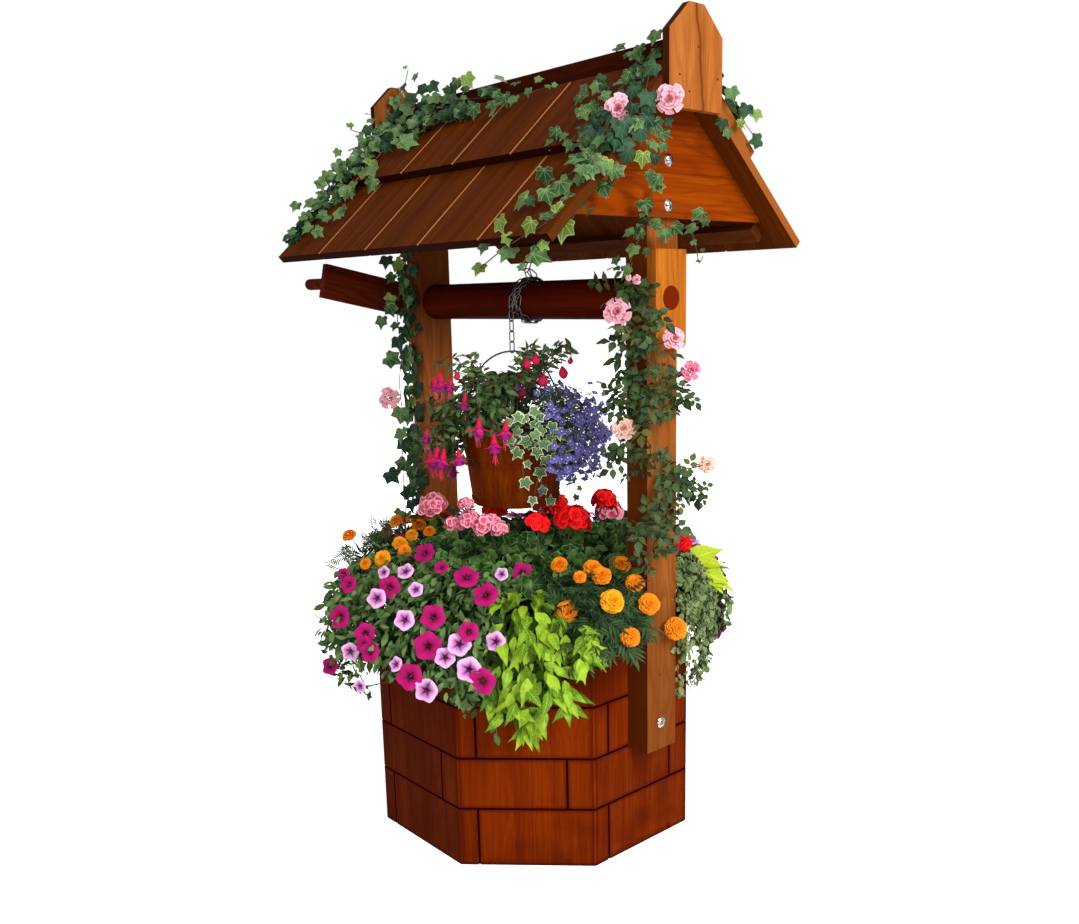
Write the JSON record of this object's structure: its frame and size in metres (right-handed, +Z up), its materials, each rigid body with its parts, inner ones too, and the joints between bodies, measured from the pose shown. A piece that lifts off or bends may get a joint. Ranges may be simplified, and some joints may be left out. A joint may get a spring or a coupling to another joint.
{
  "type": "wishing well planter",
  "caption": "Timber wishing well planter with an octagonal base, a gabled board roof, a crank windlass and a planted bucket on a chain.",
  "frame": {"origin": "on the ground at the middle of the octagonal base", "axes": "+Z up; X along the windlass with the crank at the -X end; -Y is the side that the crank points to"},
  "size_m": [1.1153, 0.9949, 1.757],
  "materials": {
    "wall_timber": "satin",
    "inner_timber": "matte",
    "liner_plastic": "matte",
    "compost": "matte",
    "post_timber": "satin",
    "gable_timber": "satin",
    "roof_timber": "satin",
    "dark_timber": "satin",
    "bright_steel": "polished",
    "chain_steel": "satin",
    "bucket_timber": "satin",
    "hoop_timber": "satin",
    "petunia": "matte",
    "vine_leaf": "matte",
    "marigold": "matte",
    "creeper_leaf": "matte",
    "geranium": "matte",
    "ivy_leaf": "matte",
    "rose": "matte",
    "fuchsia": "matte",
    "lobelia": "matte"
  },
  "bodies": {
    "planter": {"base_bolts": "bright_steel", "base_floor": "inner_timber", "base_nuts": "bright_steel", "climbing_rose": "rose", "corner_blocks": "inner_timber", "crank_bearing_block": "post_timber", "crank_finial": "post_timber", "crank_gable_boards": "gable_timber", "crank_post": "post_timber", "crank_post_ivy": "ivy_leaf", "finial_nails": "bright_steel", "floor_bearers": "inner_timber", "front_bearing_block": "post_timber", "front_finial": "post_timber", "front_gable_boards": "gable_timber", "front_post": "post_timber", "gable_bolts": "bright_steel", "gable_nuts": "bright_steel", "geraniums": "geranium", "left_lower_boards": "roof_timber", "left_upper_boards": "roof_timber", "marigolds": "marigold", "petunias": "petunia", "planter_liner": "liner_plastic", "potting_soil": "compost", "ridge_board": "dark_timber", "right_lower_boards": "roof_timber", "right_upper_boards": "roof_timber", "roof_ivy": "ivy_leaf", "roof_purlins": "inner_timber", "small_leaf_creeper": "creeper_leaf", "sweet_potato_vine": "vine_leaf", "wall_panel_1": "wall_timber", "wall_panel_2": "wall_timber", "wall_panel_3": "wall_timber", "wall_panel_4": "wall_timber", "wall_panel_5": "wall_timber", "wall_panel_6": "wall_timber", "wall_panel_7": "wall_timber", "wall_panel_8": "wall_timber"},
    "windlass": {"windlass_roller": "dark_timber", "crank_arm": "dark_timber", "crank_grip": "dark_timber", "thrust_washer": "bright_steel", "crank_screw": "bright_steel", "chain_winding": "chain_steel"},
    "hoist": {"hanging_chain": "chain_steel", "end_link": "chain_steel"},
    "bail": {"bucket_bail": "chain_steel"},
    "bucket": {"bucket_staves": "bucket_timber", "bucket_floor": "bucket_timber", "bucket_soil": "compost", "bucket_hoops": "hoop_timber", "bucket_ears": "chain_steel", "bucket_fuchsia": "fuchsia", "bucket_lobelia": "lobelia", "bucket_ivy": "ivy_leaf"}
  },
  "joints": [
    {"name": "windlass_turn", "type": "hinge", "parent": "planter", "child": "windlass", "pos_m": [0, 0, 1.222], "axis": [-1, 0, 0], "range_deg": [0, 50.5]},
    {"name": "bucket_lift", "type": "slide", "parent": "planter", "child": "hoist", "axis": [0, 0, 1], "range_m": [0, 0.045]},
    {"name": "bail_swing", "type": "hinge", "parent": "hoist", "child": "bail", "pos_m": [0.0015, -0.051, 1.1083], "axis": [0.7071, -0.7071, 0], "range_deg": [-8, 8]},
    {"name": "bucket_tilt", "type": "hinge", "parent": "bail", "child": "bucket", "pos_m": [0.0015, -0.051, 0.941], "axis": [0.7071, 0.7071, 0], "range_deg": [-10, 10]}
  ],
  "couplings": [
    {"joint": "bucket_lift", "follows": "windlass_turn", "m_per_rad": 0.051}
  ]
}
